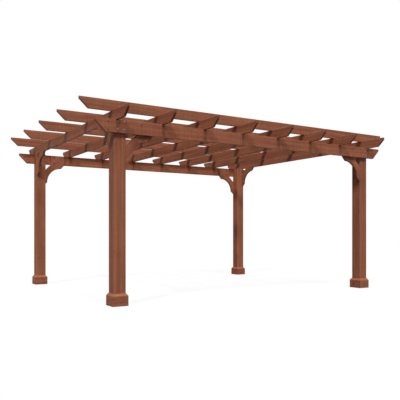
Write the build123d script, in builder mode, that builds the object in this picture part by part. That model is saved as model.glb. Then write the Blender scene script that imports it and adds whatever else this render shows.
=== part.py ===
from build123d import *
import os

# Free-standing timber pergola: four posts carry two long beams, the beams carry
# eight rafters, and the rafters carry five purlins. Sizes are in millimetres.
# +Z is up, X runs along the beams, and the origin is on the ground at the centre.

# Plan, between the centre lines of the posts
post_span_x = 4877.0
post_span_y = 3658.0

# Posts
post_width = 180.0
post_arris = 6.0

# Collars around the feet of the posts
collar_board = 27.0
collar_face_height = 140.0
collar_bevel_run = 24.0
collar_bevel_rise = 34.0

# Beams, one board on the outer faces of each pair of posts
beam_thickness = 38.0
beam_depth = 185.0
beam_underside = 2370.0
beam_overhang = 375.0
beam_nose = 36.0
beam_cut_run = 148.0

# Rafters, on edge across the beams
rafter_count = 8
rafter_thickness = 38.0
rafter_depth = 150.0
rafter_tail = 490.0
rafter_nose = 40.0
rafter_cut_run = 120.0
rafter_notch = 10.0
end_rafter_offset = 60.0

# Purlins, on edge across the rafters
purlin_count = 5
purlin_thickness = 38.0
purlin_depth = 152.0
purlin_overhang = 560.0
purlin_nose = 32.0
purlin_cut_run = 130.0
purlin_notch = 12.0

# Knee braces in the corners
brace_thickness = 38.0
brace_leg = 425.0
brace_gap = 150.0
brace_tip_run = 68.0
brace_tip_drop = 75.0
brace_lap = 165.0

# Play on each side of a board in its notch, and the eased edges of all boards
notch_play = 1.0
board_arris = 3.0

# Levels and lines that follow from the sizes above
beam_top = beam_underside + beam_depth
rafter_underside = beam_top - rafter_notch
rafter_top = rafter_underside + rafter_depth
purlin_underside = rafter_top - purlin_notch
purlin_top = purlin_underside + purlin_depth
post_x = post_span_x / 2
post_y = post_span_y / 2
beam_inner_y = post_y + post_width / 2
beam_y = beam_inner_y + beam_thickness / 2
end_rafter_x = post_x + end_rafter_offset
rafter_pitch = 2 * end_rafter_x / (rafter_count - 1)
rafter_lines = [rafter_pitch * number - end_rafter_x for number in range(rafter_count)]
purlin_pitch = post_span_y / (purlin_count - 1)
purlin_lines = [purlin_pitch * number - post_y for number in range(purlin_count)]

corners = {
    "front_left": (-1, -1),
    "front_right": (1, -1),
    "rear_left": (-1, 1),
    "rear_right": (1, 1),
}

os.makedirs("parts", exist_ok=True)


def save(builder, name):
    builder.part.label = name
    export_step(builder.part, f"parts/{name}.step")


def board_outline(half_length, underside, top, nose, cut_run):
    # Side view of a board on edge: each end has a short upright nose at the top
    # and a straight slanting undercut below it.
    with BuildLine() as outline:
        Polyline(
            (-half_length, top),
            (half_length, top),
            (half_length, top - nose),
            (half_length - cut_run, underside),
            (cut_run - half_length, underside),
            (-half_length, top - nose),
            close=True,
        )
    return outline.edges()


def notch_outlines(lines, underside, width, depth):
    # Rectangles across the underside, one for each board that passes below.
    with Locations(*[(line, underside) for line in lines]):
        Rectangle(width, 2 * depth)


# Posts
for corner, (side_x, side_y) in corners.items():
    with BuildPart() as post:
        with BuildSketch(Plane.XY):
            with Locations((side_x * post_x, side_y * post_y)):
                Rectangle(post_width, post_width)
        extrude(amount=rafter_underside)
        chamfer(post.edges().filter_by(Axis.Z), post_arris)
    save(post, f"post_{corner}")

# Collars: an upright board face, a bevelled top, and the post through the middle
collar_width = post_width + 2 * collar_board
collar_height = collar_face_height + collar_bevel_rise
collar_bevel_angle = Vector(collar_bevel_run, collar_bevel_rise).get_angle(Vector(0, 1))
for corner, (side_x, side_y) in corners.items():
    with BuildPart() as collar:
        with BuildSketch(Plane.XY):
            with Locations((side_x * post_x, side_y * post_y)):
                Rectangle(collar_width, collar_width)
        extrude(amount=collar_face_height)
        with BuildSketch(Plane.XY.offset(collar_face_height)):
            with Locations((side_x * post_x, side_y * post_y)):
                Rectangle(collar_width, collar_width)
        extrude(amount=collar_bevel_rise, taper=collar_bevel_angle)
        with BuildSketch(Plane.XY):
            with Locations((side_x * post_x, side_y * post_y)):
                Rectangle(post_width, post_width)
        extrude(amount=collar_height, mode=Mode.SUBTRACT)
    save(collar, f"collar_{corner}")

# Beams
for end, side_y in {"front": -1, "rear": 1}.items():
    with BuildPart() as beam:
        with BuildSketch(Plane.XZ.offset(-side_y * beam_y)):
            make_face(
                board_outline(
                    post_x + beam_overhang, beam_underside, beam_top, beam_nose, beam_cut_run
                )
            )
        extrude(amount=beam_thickness / 2, both=True)
        chamfer(beam.faces().filter_by(Axis.Y).edges(), board_arris)
    save(beam, f"{end}_beam")

# Rafters, notched over both beams
for number, rafter_x in enumerate(rafter_lines, start=1):
    with BuildPart() as rafter:
        with BuildSketch(Plane.YZ.offset(rafter_x)):
            make_face(
                board_outline(
                    post_y + rafter_tail, rafter_underside, rafter_top, rafter_nose, rafter_cut_run
                )
            )
        extrude(amount=rafter_thickness / 2, both=True)
        chamfer(rafter.faces().filter_by(Axis.X).edges(), board_arris)
        with BuildSketch(Plane.YZ.offset(rafter_x)):
            notch_outlines(
                (-beam_y, beam_y), rafter_underside, beam_thickness + 2 * notch_play, rafter_notch
            )
        extrude(amount=rafter_thickness, both=True, mode=Mode.SUBTRACT)
    save(rafter, f"rafter_{number}")

# Purlins, notched over every rafter
for number, purlin_y in enumerate(purlin_lines, start=1):
    with BuildPart() as purlin:
        with BuildSketch(Plane.XZ.offset(-purlin_y)):
            make_face(
                board_outline(
                    post_x + purlin_overhang, purlin_underside, purlin_top, purlin_nose, purlin_cut_run
                )
            )
        extrude(amount=purlin_thickness / 2, both=True)
        chamfer(purlin.faces().filter_by(Axis.Y).edges(), board_arris)
        with BuildSketch(Plane.XZ.offset(-purlin_y)):
            notch_outlines(
                rafter_lines, purlin_underside, rafter_thickness + 2 * notch_play, purlin_notch
            )
        extrude(amount=purlin_thickness, both=True, mode=Mode.SUBTRACT)
    save(purlin, f"purlin_{number}")


def brace_outline(lap):
    # Side view of a brace in its corner: the origin is where the post meets the
    # underside of the board that it props, and x points away from the post. The
    # inner edge slants across the corner, the upper end is flush with the underside
    # or rises past it, and the lower edge is an arch between two slanting tips.
    arch_end = brace_leg - brace_tip_run
    with BuildLine() as outline:
        Polyline((brace_tip_drop, -arch_end), (0, -brace_leg), (0, -brace_gap), (brace_gap, 0))
        if lap > 0:
            Polyline((brace_gap, 0), (brace_gap, lap), (brace_leg, lap), (brace_leg, 0))
        else:
            Line((brace_gap, 0), (brace_leg, 0))
        Line((brace_leg, 0), (arch_end, -brace_tip_drop))
        RadiusArc(
            (arch_end, -brace_tip_drop), (brace_tip_drop, -arch_end), brace_tip_drop - arch_end
        )
    return outline.edges()


# Braces along the beams, lapped behind the beam and bolted through it
for corner, (side_x, side_y) in corners.items():
    along_beam = Plane(
        origin=(
            side_x * (post_x - post_width / 2),
            side_y * (beam_inner_y - brace_thickness / 2),
            beam_underside,
        ),
        x_dir=(-side_x, 0, 0),
        z_dir=(0, side_x, 0),
    )
    with BuildPart() as beam_brace:
        with BuildSketch(along_beam):
            make_face(brace_outline(brace_lap))
        extrude(amount=brace_thickness / 2, both=True)
        chamfer(beam_brace.faces().filter_by(Axis.Y).edges(), board_arris)
    save(beam_brace, f"beam_brace_{corner}")

# Braces along the end rafters, butted under them
for corner, (side_x, side_y) in corners.items():
    along_rafter = Plane(
        origin=(side_x * end_rafter_x, side_y * (post_y - post_width / 2), rafter_underside),
        x_dir=(0, -side_y, 0),
        z_dir=(-side_y, 0, 0),
    )
    with BuildPart() as rafter_brace:
        with BuildSketch(along_rafter):
            make_face(brace_outline(0))
        extrude(amount=brace_thickness / 2, both=True)
        chamfer(rafter_brace.faces().filter_by(Axis.X).edges(), board_arris)
    save(rafter_brace, f"rafter_brace_{corner}")
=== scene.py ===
import math
import random

import bmesh
import bpy
from mathutils import Matrix, Vector


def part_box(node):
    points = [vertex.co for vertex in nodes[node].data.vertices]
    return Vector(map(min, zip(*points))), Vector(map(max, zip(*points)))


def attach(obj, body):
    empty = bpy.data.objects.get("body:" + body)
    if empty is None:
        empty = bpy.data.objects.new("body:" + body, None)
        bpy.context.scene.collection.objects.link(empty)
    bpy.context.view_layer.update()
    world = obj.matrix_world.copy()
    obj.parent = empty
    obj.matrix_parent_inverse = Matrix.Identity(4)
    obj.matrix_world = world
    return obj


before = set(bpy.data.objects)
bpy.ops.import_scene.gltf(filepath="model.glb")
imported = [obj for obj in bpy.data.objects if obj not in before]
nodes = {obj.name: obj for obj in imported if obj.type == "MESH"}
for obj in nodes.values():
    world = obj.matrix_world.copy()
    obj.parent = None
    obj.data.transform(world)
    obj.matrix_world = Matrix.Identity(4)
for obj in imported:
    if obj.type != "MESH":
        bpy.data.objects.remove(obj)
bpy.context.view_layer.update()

# Looks of a stained timber pergola. Everything is in metres in the frame of the model:
# X along the beams, Y towards the rear, Z up, with the ground at Z = 0.

X_AXIS = Vector((1, 0, 0))
Y_AXIS = Vector((0, 1, 0))
Z_AXIS = Vector((0, 0, 1))

# Camera: level, turned from the front towards the right by HEADING, in radians, with a small
# shift. The focal length and the principal point are in pixels of the image.
IMAGE_SIZE = 400
SENSOR = 36.0
FOCAL_PIXELS = 538.8
HEADING = 0.5316
EYE = (-5.551, -8.660, 1.012)
PRINCIPAL_POINT = (173.5, 232.5)

# Colours of the timber under its semi-transparent stain, from dark grain to pale, and the
# shade at which each one is full
STAIN_DARK = (0.165, 0.051, 0.0255)
STAIN_MIDDLE = (0.300, 0.101, 0.051)
STAIN_PALE = (0.430, 0.157, 0.083)
STAIN_STOPS = ((0.18, STAIN_DARK), (0.5, STAIN_MIDDLE), (0.85, STAIN_PALE))
RED_TINT = (1.02, 0.97, 0.98)
BROWN_TINT = (0.98, 1.04, 1.01)
KNOT_COLOUR = (0.085, 0.028, 0.014)
BOARD_TONES = (1.0, 1.0, 1.02, 0.96, 1.04, 1.03, 0.98)
# Painted light: the rear timbers' stain is made this much paler, to make up for the shade that the roof
# casts on them
REAR_PAINTED_LIGHT = 1.12

# How much each part of the grain adds to the shade of the stain. EVEN_SHADE and half the share
# of the saw marks are taken off again.
LATEWOOD_SHADE = -0.16
FIBRE_SHADE = 0.36
BLOTCH_SHADE = 0.30
BOARD_SAW_SHADE = 0.55
POST_SAW_SHADE = 0.12
EVEN_SHADE = 0.31

# How much each part of the grain adds to the height of the surface, and how deep that goes
LATEWOOD_HEIGHT = 0.5
KNOT_HEIGHT = -0.6
SAW_HEIGHT = 0.5
GRAIN_DEPTH = 0.0012
GRAIN_BUMP = 0.6

# Gloss of the timber, from soft early wood to dense late wood
GRAIN_DENSITY = (0.3, 1.5)
GRAIN_ROUGHNESS = (0.74, 0.56)
TIMBER_SPECULAR = 0.22

# Growth rings and the streaks and fibres along them, with lengths in metres
RING_SPACING = 0.0065
RING_SHARPNESS = 3.0
PITH_ASIDE = (-0.06, 0.06)
PITH_BELOW = (0.03, 0.11)
STREAK_LENGTH = 1.6
STREAK_WIDTH = 0.035
FIBRE_LENGTH = 0.16
FIBRE_WIDTH = 0.0028
WARMTH_SIZE = (2.0 * STREAK_LENGTH, 1.6 * STREAK_WIDTH)
WARMTH_RANGE = (0.35, 0.65)
WANDER = 0.075
WANDER_SIZE = (1.9, 0.5)
BLOTCH_SIZE = 0.30
SAW_PITCH = 0.032
SAW_REACH = 0.9

# How far apart two neighbouring timbers lie in the grain that all of them are cut from, and
# the side boards of a collar from its front ones
BOARD_START = 17.3
COLLAR_SIDE_START = 0.7

# Knots: their spacing in metres, along and across the grain, and the largest radius as a share
# of it. The sizes below those are shares of that radius, in which KNOT_RINGS rings lie.
KNOT_SPACING = (0.27, 0.19)
KNOT_RADIUS = 0.095
COLLAR_KNOT_SPACING = (0.065, 0.060)
COLLAR_KNOT_RADIUS = 0.36
KNOT_SMALLEST = -0.3
KNOT_EDGE = (-0.12, 0.25)
KNOT_HALO = -1.3
KNOT_RINGS = 3.0
KNOT_WOBBLE = 1.4

# The share of places without a knot, the size of the wobble in a knot's outline, how dark a
# knot and its rings are, and how far it pushes the growth rings aside
KNOT_MISSING = 0.3
KNOT_WOBBLE_SIZE = 0.022
KNOT_STRENGTH = 0.55
KNOT_RING_STRENGTH = 0.3
KNOT_PUSH = 0.012

# Sawn ends and paler eased edges, partly rubbed wear and partly painted highlight: how squarely a
# surface faces along the grain or through the board, and how strongly it shows
SAWN_END_FACING = (0.45, 0.72)
SAWN_END_SHARE = 0.85
EDGE_FACING = (0.3, 0.6)
BROAD_FACING = (0.95, 0.8)
WEAR_AND_HIGHLIGHT_FIBRES = (0.38, 0.62)
WEAR_AND_HIGHLIGHT_SHARE = 0.55
COLLAR_SIDE_FACING = 0.4

# Steel of the bolts, dulled in spots
ZINC_COLOUR = (0.24, 0.20, 0.18)
BRONZED_COLOUR = (0.13, 0.075, 0.050)
SPOT_SIZE = 0.006
SPOT_RANGE = (0.45, 0.7)
SPOT_TONE = 0.6
SPOT_SHARE = 0.6
STEEL_ROUGHNESS = (0.45, 0.7)
STEEL_METALLIC = 0.7
STEEL_DEPTH = 0.0004
STEEL_BUMP = 0.2

# Places of the bolts: rows above the underside of a beam, and pairs beside the middle of a post
POST_BOLT_ROWS = (0.050, 0.160)
BRACE_BOLT_ROWS = (0.034, 0.147)
BOLT_SPREAD = 0.050
OUTER_PAIR = 0.195
BRACE_PAIR = 0.310

# Bolts: domed heads on washers through the beams, with nuts on the inner side. The profile of
# a washer is in shares of its radius and thickness, and the dome's tilts are in degrees.
BOLT_HEAD_RADIUS = 0.0100
BOLT_HEAD_HEIGHT = 0.0060
DOME_TILTS = (0, 15, 30, 45, 60, 75, 86)
WASHER_RADIUS = 0.0135
WASHER_THICKNESS = 0.0022
WASHER_PROFILE = ((1.0, 0.0), (1.0, 0.7), (0.97, 1.0))
WASHER_HOLE_SHARE = 0.6
NUT_WIDTH = 0.018
NUT_HEIGHT = 0.010
NUT_BEVEL = 0.001
NUT_FOOT_SHARE = 0.94
NUT_CROWN_SHARE = 0.9
SHANK_RADIUS = 0.006
SHANK_REACH = 0.018
SHANK_TIP_SHARE = 0.8
ROUND_SIDES = 20
SHANK_SIDES = 12
NUT_SIDES = 6

# Suns: the direction in which each one stands, its strength, and how wide it looks in degrees
SUNS = {
    "key": ((-0.12, -1.0, 1.5), 1.88, 18),
    "side": ((-1.4, -0.88, 1.77), 1.7, 8),
    "front_fill": ((-0.25, -1.0, 0.12), 0.4, 40),
    "rear_fill": ((1.0, 1.2, 0.9), 1.8, 50),
}

# A square lamp overhead, with its power in watts
OVERHEAD_PLACE = (-0.6, -0.8, 9.0)
OVERHEAD_POWER = 220.0
OVERHEAD_WIDTH = 9.0

# Strength of the even light from all round, above the floor
FILL_STRENGTH = 0.05

# Floor: its colours as seen and as it throws light back, and how white it shows at which
# distances from the middle of the pergola
WHITE = (1.0, 1.0, 1.0, 1.0)
FLOOR_PALE = (0.85, 0.85, 0.85, 1.0)
FLOOR_DARK = (0.05, 0.047, 0.044, 1.0)
GLOW_DISTANCES = (4.5, 8.0)
GLOW_SHARES = (0.8, 1.0)
FLOOR_REACH = 60.0


def add_node(tree, kind, inputs=None, **settings):
    """Adds a shader node, with its settings and its inputs, which are values or sockets."""
    node = tree.nodes.new(kind)
    for name, value in settings.items():
        setattr(node, name, value)
    for name, value in (inputs or {}).items():
        if isinstance(value, bpy.types.NodeSocket):
            tree.links.new(value, node.inputs[name])
        else:
            node.inputs[name].default_value = value
    return node


def maths(tree, operation, first, second=0.0):
    """One Math node of two values or sockets."""
    return add_node(tree, "ShaderNodeMath", {0: first, 1: second}, operation=operation).outputs[0]


def map_range(tree, value, source, target, interpolation="LINEAR"):
    """Takes the value from the source range to the target range, and stops at its ends."""
    return add_node(tree, "ShaderNodeMapRange", {
        "Value": value, "From Min": source[0], "From Max": source[1],
        "To Min": target[0], "To Max": target[1],
    }, interpolation_type=interpolation).outputs[0]


def fade(tree, value, low, high):
    """Smoothly from 0 at low to 1 at high."""
    return map_range(tree, value, (low, high), (0.0, 1.0), "SMOOTHSTEP")


def add_shares(tree, value, parts):
    """The value with a share of each part added to it, from (part, share) pairs."""
    for part, share in parts:
        value = maths(tree, "ADD", value, maths(tree, "MULTIPLY", part, share))
    return value


def blend_colours(tree, factor, first, second):
    """One colour Mix node of two colours or sockets."""
    inputs = {0: factor, 6: first, 7: second}
    return add_node(tree, "ShaderNodeMix", inputs, data_type="RGBA").outputs[2]


def scaled(colour, factor):
    """The colour made lighter or darker, with full alpha."""
    return tuple(channel * factor for channel in colour) + (1.0,)


def new_material(name):
    """A material with nothing in its tree but its output."""
    material = bpy.data.materials.new(name)
    material.use_nodes = True
    material.node_tree.nodes.clear()
    output = add_node(material.node_tree, "ShaderNodeOutputMaterial")
    return material, material.node_tree, output


def new_object(name, data):
    """An object in the scene with this data."""
    made = bpy.data.objects.new(name, data)
    bpy.context.scene.collection.objects.link(made)
    return made


def facing(tree, axis):
    """How squarely the surface faces along this axis, from 0 to 1."""
    normal = add_node(tree, "ShaderNodeTexCoord").outputs["Normal"]
    product = add_node(tree, "ShaderNodeVectorMath", {0: normal, 1: axis}, operation="DOT_PRODUCT")
    return maths(tree, "ABSOLUTE", product.outputs["Value"])


def board_coordinates(tree, grain_axis, centre, start):
    """Coordinates with X along the grain, counted from the middle of the board plus start."""
    turn = grain_axis.rotation_difference(X_AXIS)
    source = add_node(tree, "ShaderNodeTexCoord").outputs["Object"]
    place = Vector((start, 0, 0)) - turn @ centre
    inputs = {"Vector": source, "Rotation": turn.to_euler(), "Location": place}
    return add_node(tree, "ShaderNodeMapping", inputs).outputs[0]


def collar_coordinates(tree, centre, start):
    """Grain that runs level round a collar: along X on its front and rear, along Y on its sides."""
    along_x = board_coordinates(tree, X_AXIS, centre, start)
    along_y = board_coordinates(tree, Y_AXIS, centre, start + COLLAR_SIDE_START)
    on_side = maths(tree, "GREATER_THAN", facing(tree, X_AXIS), COLLAR_SIDE_FACING)
    inputs = {0: on_side, 4: along_x, 5: along_y}
    return add_node(tree, "ShaderNodeMix", inputs, data_type="VECTOR").outputs[1]


def stretched(tree, vector, along, across):
    """Coordinates with one unit for each of these lengths along and across the grain."""
    inputs = {"Vector": vector, "Scale": (1 / along, 1 / across, 1 / across)}
    return add_node(tree, "ShaderNodeMapping", inputs).outputs[0]


def noise(tree, vector, detail=2.0, roughness=0.5, output=0):
    """Noise of one cell for each unit of the vector: a value, or with output "Color" a colour."""
    inputs = {"Vector": vector, "Scale": 1.0, "Detail": detail, "Roughness": roughness}
    return add_node(tree, "ShaderNodeTexNoise", inputs).outputs[output]


def knots_in(tree, grain, spacing, largest):
    """Where knots lie: one value for the knot itself and one for the bent grain round it.

    spacing is along and across the grain, and largest is a share of the spacing.
    """
    places = stretched(tree, grain, *spacing)
    cells = add_node(tree, "ShaderNodeTexVoronoi", {"Vector": places, "Scale": 1.0, "Randomness": 1.0})
    wobble = noise(tree, stretched(tree, grain, KNOT_WOBBLE_SIZE, KNOT_WOBBLE_SIZE))
    wobble = maths(tree, "MULTIPLY", maths(tree, "SUBTRACT", wobble, 0.5), KNOT_WOBBLE * largest)
    distance = maths(tree, "ADD", cells.outputs["Distance"], wobble)
    size = add_node(tree, "ShaderNodeSeparateColor", {"Color": cells.outputs["Color"]}).outputs[0]
    radius = map_range(tree, size, (KNOT_MISSING, 1.0), (KNOT_SMALLEST * largest, largest))
    nearness = maths(tree, "SUBTRACT", radius, distance)
    rings = maths(tree, "FRACT", maths(tree, "MULTIPLY", distance, KNOT_RINGS / largest))
    strength = maths(tree, "MULTIPLY", rings, KNOT_RING_STRENGTH)
    strength = maths(tree, "ADD", strength, KNOT_STRENGTH)
    inside = fade(tree, nearness, KNOT_EDGE[0] * largest, KNOT_EDGE[1] * largest)
    halo = fade(tree, nearness, KNOT_HALO * largest, 0.0)
    return maths(tree, "MULTIPLY", inside, strength), halo


def rings_in(tree, bent, halo, pith):
    """The dark late wood of the growth rings, round a pith that lies this far from the board."""
    parts = add_node(tree, "ShaderNodeSeparateXYZ", {"Vector": bent})
    across = maths(tree, "POWER", maths(tree, "ADD", parts.outputs["Y"], pith[0]), 2.0)
    through = maths(tree, "POWER", maths(tree, "ADD", parts.outputs["Z"], pith[1]), 2.0)
    radius = maths(tree, "SQRT", maths(tree, "ADD", across, through))
    radius = maths(tree, "ADD", radius, maths(tree, "MULTIPLY", halo, KNOT_PUSH))
    ring = maths(tree, "FRACT", maths(tree, "DIVIDE", radius, RING_SPACING))
    return maths(tree, "POWER", ring, RING_SHARPNESS)


def parts_of_grain(tree, grain, knot_spacing, largest_knot, pith):
    """What shows in the grain of a timber, by name, each as one value."""
    knot, halo = knots_in(tree, grain, knot_spacing, largest_knot)
    wander = noise(tree, stretched(tree, grain, *WANDER_SIZE), detail=3.0, output="Color")
    inputs = {0: wander, 1: (0.0, WANDER, WANDER)}
    shift = add_node(tree, "ShaderNodeVectorMath", inputs, operation="MULTIPLY").outputs[0]
    inputs = {0: grain, 1: shift}
    bent = add_node(tree, "ShaderNodeVectorMath", inputs, operation="ADD").outputs[0]
    streaks = stretched(tree, bent, STREAK_LENGTH, STREAK_WIDTH)
    fibres = stretched(tree, bent, FIBRE_LENGTH, FIBRE_WIDTH)
    return {
        "knot": knot,
        "latewood": rings_in(tree, bent, halo, pith),
        "streak": noise(tree, streaks, detail=4.0, roughness=0.6),
        "fibre": noise(tree, fibres, detail=3.0, roughness=0.7),
        "blotch": noise(tree, stretched(tree, grain, BLOTCH_SIZE, BLOTCH_SIZE), detail=3.0),
        "saw": noise(tree, stretched(tree, grain, SAW_PITCH, SAW_REACH), detail=3.0, roughness=0.65),
        "warmth": noise(tree, stretched(tree, bent, *WARMTH_SIZE)),
    }


def stain_colours(tree, shade, warmth, tone_and_painted_light):
    """The stain from dark to pale, between a redder and a browner timber."""
    ramps = []
    for tint in (RED_TINT, BROWN_TINT):
        ramp = add_node(tree, "ShaderNodeValToRGB", {"Fac": shade})
        stops = ramp.color_ramp.elements
        stops.new(STAIN_STOPS[1][0])
        for stop, (position, colour) in zip(stops, STAIN_STOPS):
            stop.position = position
            stop.color = scaled([channel * share for channel, share in zip(colour, tint)], tone_and_painted_light)
        ramps.append(ramp.outputs[0])
    return blend_colours(tree, warmth, *ramps)


def sawn_ends(tree, colour, grain_axis, tone_and_painted_light):
    """The colour, darker on sawn ends, which drink more stain."""
    sawn_end = fade(tree, facing(tree, grain_axis), *SAWN_END_FACING)
    share = maths(tree, "MULTIPLY", sawn_end, SAWN_END_SHARE)
    return blend_colours(tree, share, colour, scaled(STAIN_DARK, tone_and_painted_light))


def worn_and_highlit_edges(tree, colour, thin_axis, fibre, tone_and_painted_light):
    """The colour, paler along the eased edges between the broad and the narrow faces, for wear and painted
    highlight.
    """
    sideways = facing(tree, thin_axis)
    edge = maths(tree, "MULTIPLY", fade(tree, sideways, *EDGE_FACING), fade(tree, sideways, *BROAD_FACING))
    # Painted highlight in part: the eased edges are made paler both for rubbed wear and for the light that
    # they catch
    wear_and_highlight = maths(tree, "MULTIPLY", edge, fade(tree, fibre, *WEAR_AND_HIGHLIGHT_FIBRES))
    return blend_colours(tree, maths(tree, "MULTIPLY", wear_and_highlight, WEAR_AND_HIGHLIGHT_SHARE), colour, scaled(STAIN_PALE, tone_and_painted_light))


def timber(name, box, number, grain_axis, thin_axis, tone_and_painted_light, saw_shade):
    """Stained timber with rings, fibres, knots, saw marks, streaks of stain and paler edges of wear and
    painted highlight.

    box is the piece's lowest and highest corners, number picks its own timber, grain_axis runs
    along its grain and thin_axis through its thickness. A collar has no grain_axis, because its
    grain runs round it. tone makes it lighter or darker, and saw_shade says how strongly the
    saw marks show.
    """
    material, tree, output = new_material(name)
    chance = random.Random(number)
    centre = (box[0] + box[1]) / 2
    pith = (chance.uniform(*PITH_ASIDE), chance.uniform(*PITH_BELOW))
    start = BOARD_START * number
    if grain_axis:
        grain = board_coordinates(tree, grain_axis, centre, start)
        parts = parts_of_grain(tree, grain, KNOT_SPACING, KNOT_RADIUS, pith)
    else:
        grain = collar_coordinates(tree, centre, start)
        parts = parts_of_grain(tree, grain, COLLAR_KNOT_SPACING, COLLAR_KNOT_RADIUS, pith)

    shade = add_shares(tree, parts["streak"], (
        (parts["latewood"], LATEWOOD_SHADE), (parts["fibre"], FIBRE_SHADE),
        (parts["blotch"], BLOTCH_SHADE), (parts["saw"], saw_shade),
    ))
    shade = maths(tree, "SUBTRACT", shade, EVEN_SHADE + saw_shade / 2)
    colour = stain_colours(tree, shade, fade(tree, parts["warmth"], *WARMTH_RANGE), tone_and_painted_light)
    colour = blend_colours(tree, parts["knot"], colour, KNOT_COLOUR + (1.0,))
    if grain_axis:
        colour = sawn_ends(tree, colour, grain_axis, tone_and_painted_light)
    # Paler eased edges: partly rubbed wear, partly a painted highlight
    colour = worn_and_highlit_edges(tree, colour, thin_axis, parts["fibre"], tone_and_painted_light)

    density = maths(tree, "ADD", parts["latewood"], parts["fibre"])
    height = add_shares(tree, parts["fibre"], (
        (parts["latewood"], LATEWOOD_HEIGHT), (parts["knot"], KNOT_HEIGHT), (parts["saw"], SAW_HEIGHT),
    ))
    bump = add_node(tree, "ShaderNodeBump", {
        "Height": height, "Strength": GRAIN_BUMP, "Distance": GRAIN_DEPTH,
    })
    surface = add_node(tree, "ShaderNodeBsdfPrincipled", {
        "Base Color": colour, "Roughness": map_range(tree, density, GRAIN_DENSITY, GRAIN_ROUGHNESS),
        "Normal": bump.outputs[0], "Specular IOR Level": TIMBER_SPECULAR,
    })
    tree.links.new(surface.outputs[0], output.inputs["Surface"])
    return material


def bolt_steel(name, plating):
    """Steel with this plating, dulled and spotted by the weather."""
    material, tree, output = new_material(name)
    place = add_node(tree, "ShaderNodeTexCoord").outputs["Object"]
    spots = noise(tree, stretched(tree, place, SPOT_SIZE, SPOT_SIZE), detail=3.0)
    dull = fade(tree, spots, *SPOT_RANGE)
    spotted = maths(tree, "MULTIPLY", dull, SPOT_SHARE)
    colour = blend_colours(tree, spotted, plating + (1.0,), scaled(plating, SPOT_TONE))
    bump = add_node(tree, "ShaderNodeBump", {
        "Height": spots, "Strength": STEEL_BUMP, "Distance": STEEL_DEPTH,
    })
    surface = add_node(tree, "ShaderNodeBsdfPrincipled", {
        "Base Color": colour, "Roughness": map_range(tree, dull, (0.0, 1.0), STEEL_ROUGHNESS),
        "Normal": bump.outputs[0], "Metallic": STEEL_METALLIC,
    })
    tree.links.new(surface.outputs[0], output.inputs["Surface"])
    return material


def brace_grain(name, box):
    """The grain of a knee brace runs up from its post to the board that it props."""
    middle = (box[0] + box[1]) / 2
    post_low, post_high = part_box(name.replace("beam_brace", "post").replace("rafter_brace", "post"))
    away = middle - (post_low + post_high) / 2
    if name.startswith("beam_brace"):
        return Vector((math.copysign(1, away.x), 0, 1)).normalized()
    return Vector((0, math.copysign(1, away.y), 1)).normalized()


def board_axes(name, box):
    """The axes along a timber's grain, which a collar doesn't have, and through its thickness."""
    if name.startswith("post"):
        return Z_AXIS, X_AXIS
    if name.startswith("collar"):
        return None, Z_AXIS
    if name.startswith("beam_brace"):
        return brace_grain(name, box), Y_AXIS
    if name.startswith("rafter_brace"):
        return brace_grain(name, box), X_AXIS
    if name.startswith("rafter"):
        return Y_AXIS, X_AXIS
    return X_AXIS, Y_AXIS


def dress_boards():
    """Gives each timber its own material, with the grain along it."""
    for number, name in enumerate(sorted(nodes)):
        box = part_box(name)
        grain_axis, thin_axis = board_axes(name, box)
        tone_and_painted_light = BOARD_TONES[number % len(BOARD_TONES)]
        # Painted light: the rear timbers are made paler, to make up for the roof's shade on them
        if "rear" in name:
            tone_and_painted_light *= REAR_PAINTED_LIGHT
        saw_shade = POST_SAW_SHADE if name.startswith("post") else BOARD_SAW_SHADE
        material = timber(f"stained_{name}", box, number, grain_axis, thin_axis, tone_and_painted_light, saw_shade)
        mesh = nodes[name].data
        mesh.materials.clear()
        mesh.materials.append(material)


def lathe(mesh, profile, place, sides=ROUND_SIDES):
    """Adds a shape turned round the local Z axis from (radius, height) pairs, closed at both ends."""
    rings = []
    for radius, height in profile:
        ring = []
        for step in range(sides):
            angle = 2 * math.pi * step / sides
            point = Vector((radius * math.cos(angle), radius * math.sin(angle), height))
            ring.append(mesh.verts.new(place @ point))
        rings.append(ring)
    for lower, upper in zip(rings, rings[1:]):
        for step in range(sides):
            following = (step + 1) % sides
            face = mesh.faces.new((lower[step], lower[following], upper[following], upper[step]))
            face.smooth = sides > NUT_SIDES
    mesh.faces.new(reversed(rings[0]))
    mesh.faces.new(rings[-1])


def washer_profile():
    """A flat washer with a bevelled rim, from its foot to the edge of its hole."""
    rim = [(WASHER_RADIUS * width, WASHER_THICKNESS * rise) for width, rise in WASHER_PROFILE]
    return rim + [(BOLT_HEAD_RADIUS * WASHER_HOLE_SHARE, WASHER_THICKNESS)]


def dome_profile():
    """The domed head of a bolt on its washer."""
    tilts = [math.radians(tilt) for tilt in DOME_TILTS]
    return [
        (BOLT_HEAD_RADIUS * math.cos(tilt), WASHER_THICKNESS + BOLT_HEAD_HEIGHT * math.sin(tilt))
        for tilt in tilts
    ]


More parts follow.
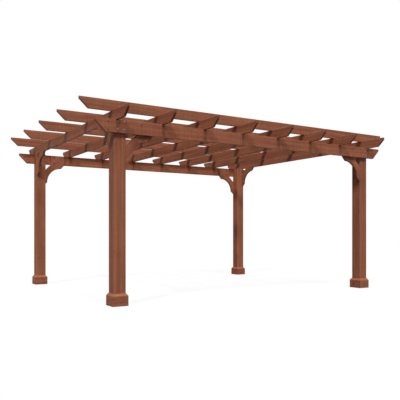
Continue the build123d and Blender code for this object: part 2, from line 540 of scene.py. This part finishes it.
def add_bolt(mesh, head, inward, length):
    """A domed bolt and washer at head, with its washer and nut this far along inward."""
    outward = -inward
    at_head = Matrix.Translation(head) @ outward.to_track_quat("Z", "Y").to_matrix().to_4x4()
    far_face = head + inward * length
    at_nut = Matrix.Translation(far_face) @ inward.to_track_quat("Z", "Y").to_matrix().to_4x4()
    corner = NUT_WIDTH / math.sqrt(3)
    nut_top = WASHER_THICKNESS + NUT_HEIGHT
    nut = [
        (corner * NUT_FOOT_SHARE, WASHER_THICKNESS), (corner, WASHER_THICKNESS + NUT_BEVEL),
        (corner, nut_top - NUT_BEVEL), (corner * NUT_CROWN_SHARE, nut_top),
    ]
    shank = [
        (SHANK_RADIUS, nut_top), (SHANK_RADIUS, SHANK_REACH - NUT_BEVEL),
        (SHANK_RADIUS * SHANK_TIP_SHARE, SHANK_REACH),
    ]
    lathe(mesh, washer_profile(), at_head)
    lathe(mesh, dome_profile(), at_head)
    lathe(mesh, washer_profile(), at_nut)
    lathe(mesh, nut, at_nut, NUT_SIDES)
    lathe(mesh, shank, at_nut, SHANK_SIDES)


def inner_face(node_name, side):
    """Y of the face that a node turns to the middle of the pergola, for its front or rear side."""
    low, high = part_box(node_name)
    return high.y if side < 0 else low.y


def bolt_places(beam_name, side, end):
    """X of each upright pair of bolts and Y of the face under its nuts: at the posts, then beside."""
    at_posts, beside_posts = [], []
    for hand in ("left", "right"):
        post_name, brace_name = f"post_{end}_{hand}", f"beam_brace_{end}_{hand}"
        low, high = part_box(post_name)
        middle_x = (low.x + high.x) / 2
        towards_middle = -math.copysign(1, middle_x)
        at_posts.append((middle_x - BOLT_SPREAD, inner_face(post_name, side)))
        at_posts.append((middle_x + BOLT_SPREAD, inner_face(post_name, side)))
        beside_posts.append((middle_x - towards_middle * OUTER_PAIR, inner_face(beam_name, side)))
        beside_posts.append((middle_x + towards_middle * BRACE_PAIR, inner_face(brace_name, side)))
    return at_posts, beside_posts


def add_bolts(name, beam_name, side, places, rows, material):
    """One piece with the bolts of a beam at these places, in these rows above its underside."""
    low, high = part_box(beam_name)
    outer_y = low.y if side < 0 else high.y
    inward = Vector((0, -side, 0))
    mesh = bmesh.new()
    for bolt_x, far_y in places:
        for row in rows:
            add_bolt(mesh, Vector((bolt_x, outer_y, low.z + row)), inward, abs(far_y - outer_y))
    data = bpy.data.meshes.new(name)
    mesh.normal_update()
    mesh.to_mesh(data)
    mesh.free()
    data.materials.append(material)
    piece = new_object(name, data)
    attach(piece, "root")


def bolt_beams():
    """Bolts each beam to its posts, and beside them through its braces and its outer ends."""
    zinc = bolt_steel("zinc_bolts", ZINC_COLOUR)
    bronzed = bolt_steel("bronzed_bolts", BRONZED_COLOUR)
    for end, side in (("front", -1), ("rear", 1)):
        beam_name = f"{end}_beam"
        at_posts, beside_posts = bolt_places(beam_name, side, end)
        add_bolts(f"{beam_name}_post_bolts", beam_name, side, at_posts, POST_BOLT_ROWS, zinc)
        add_bolts(f"{beam_name}_brace_bolts", beam_name, side, beside_posts, BRACE_BOLT_ROWS, bronzed)


def seen_by_camera(tree):
    """1 for what the camera sees, by itself, in gloss or through glass, and 0 for other light."""
    rays = add_node(tree, "ShaderNodeLightPath").outputs
    seen = maths(tree, "MAXIMUM", rays["Is Camera Ray"], rays["Is Glossy Ray"])
    return maths(tree, "MAXIMUM", seen, rays["Is Transmission Ray"])


def mix_shaders(tree, factor, first, second):
    """One Mix Shader node of the outputs of two shader nodes."""
    inputs = {0: factor, 1: first.outputs[0], 2: second.outputs[0]}
    return add_node(tree, "ShaderNodeMixShader", inputs)


def add_floor():
    """A wide pale floor that shows white and keeps a soft shadow, but throws little light back."""
    material, tree, output = new_material("pale_floor")
    pale = add_node(tree, "ShaderNodeBsdfDiffuse", {"Color": FLOOR_PALE})
    glow = add_node(tree, "ShaderNodeEmission", {"Color": WHITE, "Strength": 1.0})
    dark = add_node(tree, "ShaderNodeBsdfDiffuse", {"Color": FLOOR_DARK})
    place = add_node(tree, "ShaderNodeTexCoord").outputs["Object"]
    distance = add_node(tree, "ShaderNodeVectorMath", {0: place}, operation="LENGTH").outputs["Value"]
    whiteness = map_range(tree, distance, GLOW_DISTANCES, GLOW_SHARES)
    shown = mix_shaders(tree, whiteness, pale, glow)
    both = mix_shaders(tree, seen_by_camera(tree), dark, shown)
    tree.links.new(both.outputs[0], output.inputs["Surface"])
    corners = [(FLOOR_REACH * x, FLOOR_REACH * y, 0) for x, y in ((-1, -1), (1, -1), (1, 1), (-1, 1))]
    data = bpy.data.meshes.new("floor")
    data.from_pydata(corners, [], [(0, 1, 2, 3)])
    data.materials.append(material)
    floor = new_object("floor", data)


def add_world():
    """White behind the object, and a low even fill on it."""
    world = bpy.data.worlds.new("studio")
    bpy.context.scene.world = world
    world.use_nodes = True
    tree = world.node_tree
    tree.nodes.clear()
    fill = add_node(tree, "ShaderNodeBackground", {"Color": WHITE, "Strength": FILL_STRENGTH})
    backdrop = add_node(tree, "ShaderNodeBackground", {"Color": WHITE, "Strength": 1.0})
    both = mix_shaders(tree, seen_by_camera(tree), fill, backdrop)
    output = add_node(tree, "ShaderNodeOutputWorld")
    tree.links.new(both.outputs[0], output.inputs["Surface"])


def add_lamp(name, kind, place, strength, **settings):
    """A lamp at this place that shines towards the origin."""
    light = bpy.data.lights.new(name, kind)
    light.energy = strength
    for key, value in settings.items():
        setattr(light, key, value)
    lamp = new_object(name, light)
    lamp.location = place
    lamp.rotation_euler = Vector(place).to_track_quat("Z", "Y").to_euler()


def add_lamps():
    """Suns from the front, the left and behind, a low one before the object, and a lamp overhead."""
    for name, (place, strength, width) in SUNS.items():
        add_lamp(name, "SUN", place, strength, angle=math.radians(width))
    add_lamp("overhead", "AREA", OVERHEAD_PLACE, OVERHEAD_POWER, shape="SQUARE", size=OVERHEAD_WIDTH)


def add_camera():
    """The photograph's view: upright lines stay upright, because the camera is level."""
    data = bpy.data.cameras.new("camera")
    data.sensor_width = SENSOR
    data.lens = FOCAL_PIXELS / IMAGE_SIZE * SENSOR
    data.shift_x = (IMAGE_SIZE / 2 - PRINCIPAL_POINT[0]) / IMAGE_SIZE
    data.shift_y = (PRINCIPAL_POINT[1] - IMAGE_SIZE / 2) / IMAGE_SIZE
    camera = new_object("camera", data)
    camera.location = EYE
    camera.rotation_euler = (math.pi / 2, 0, -HEADING)
    bpy.context.scene.camera = camera


dress_boards()
bolt_beams()
add_floor()
add_world()
add_lamps()
add_camera()
bpy.context.scene.view_settings.view_transform = "Standard"
